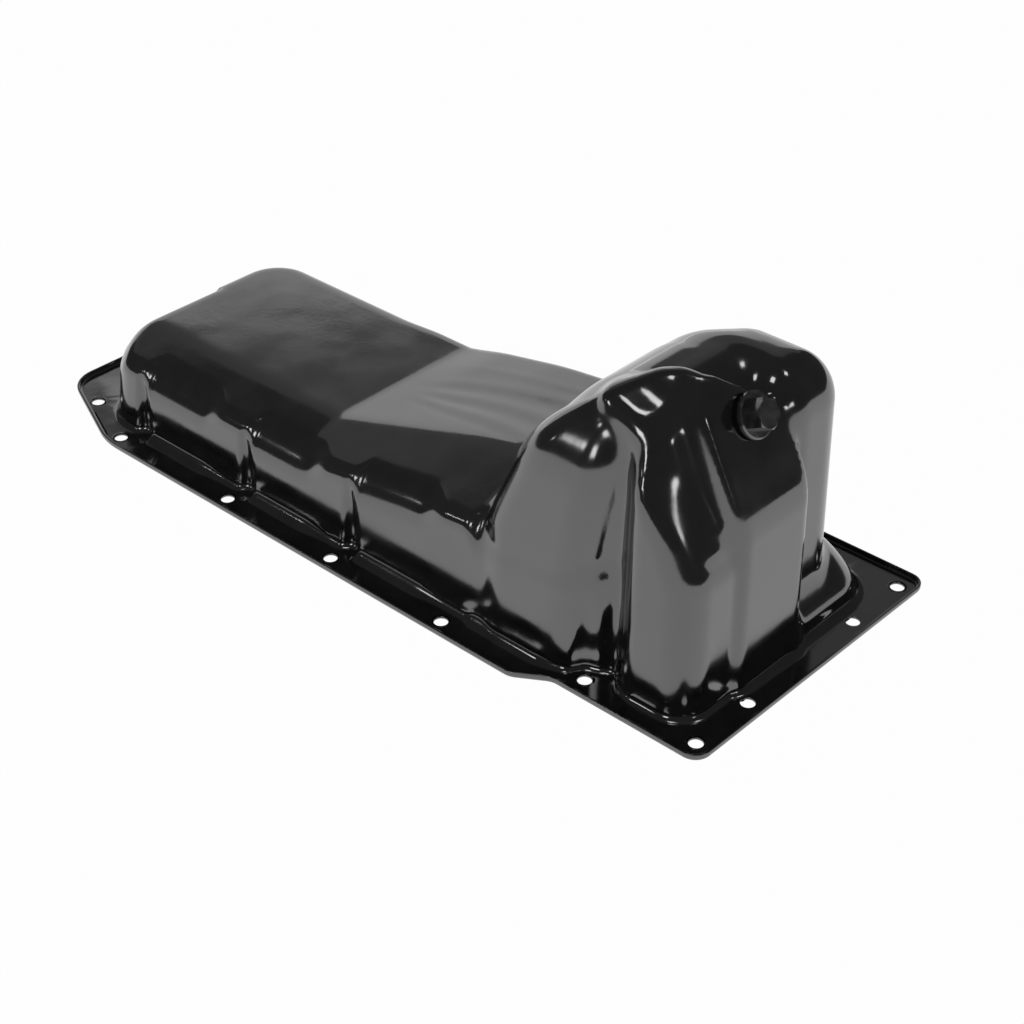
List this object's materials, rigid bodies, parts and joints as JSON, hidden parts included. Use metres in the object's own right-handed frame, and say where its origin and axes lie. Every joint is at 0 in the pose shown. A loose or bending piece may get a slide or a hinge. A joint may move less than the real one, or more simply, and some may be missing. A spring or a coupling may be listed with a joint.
{
  "type": "engine oil pan",
  "caption": "Pressed steel oil pan with a flat bolting flange, shallow fluted trough, ramp, deep rear sump and a drain plug.",
  "frame": {"origin": "centre of the bounding box in plan, on the plane of the bolting flange's sealing face", "axes": "+X along the pan from its shallow front end to its deep rear end, +Z from the open sealing face to the sump's closed bottom"},
  "size_m": [0.5938, 0.2594, 0.1962],
  "materials": {
    "black_paint": "gloss",
    "nut_steel": "satin",
    "gasket": "satin",
    "plug_steel": "gloss"
  },
  "bodies": {
    "pan_body": {"pan": "black_paint", "drain_nut": "nut_steel"},
    "washer": {"drain_gasket": "gasket"},
    "plug": {"drain_plug": "plug_steel"}
  },
  "joints": [
    {"name": "plug_travel", "type": "slide", "parent": "pan_body", "child": "washer", "axis": [0.8898, 0, 0.4563], "range_m": [0, 0.012]},
    {"name": "plug_turn", "type": "hinge", "parent": "washer", "child": "plug", "pos_m": [0.24756, -0.0193, 0.167], "axis": [0.8898, 0, 0.4563], "range_deg": [0, 2882]}
  ],
  "couplings": [
    {"joint": "plug_turn", "follows": "plug_travel", "rad_per_m": 4188.8}
  ]
}
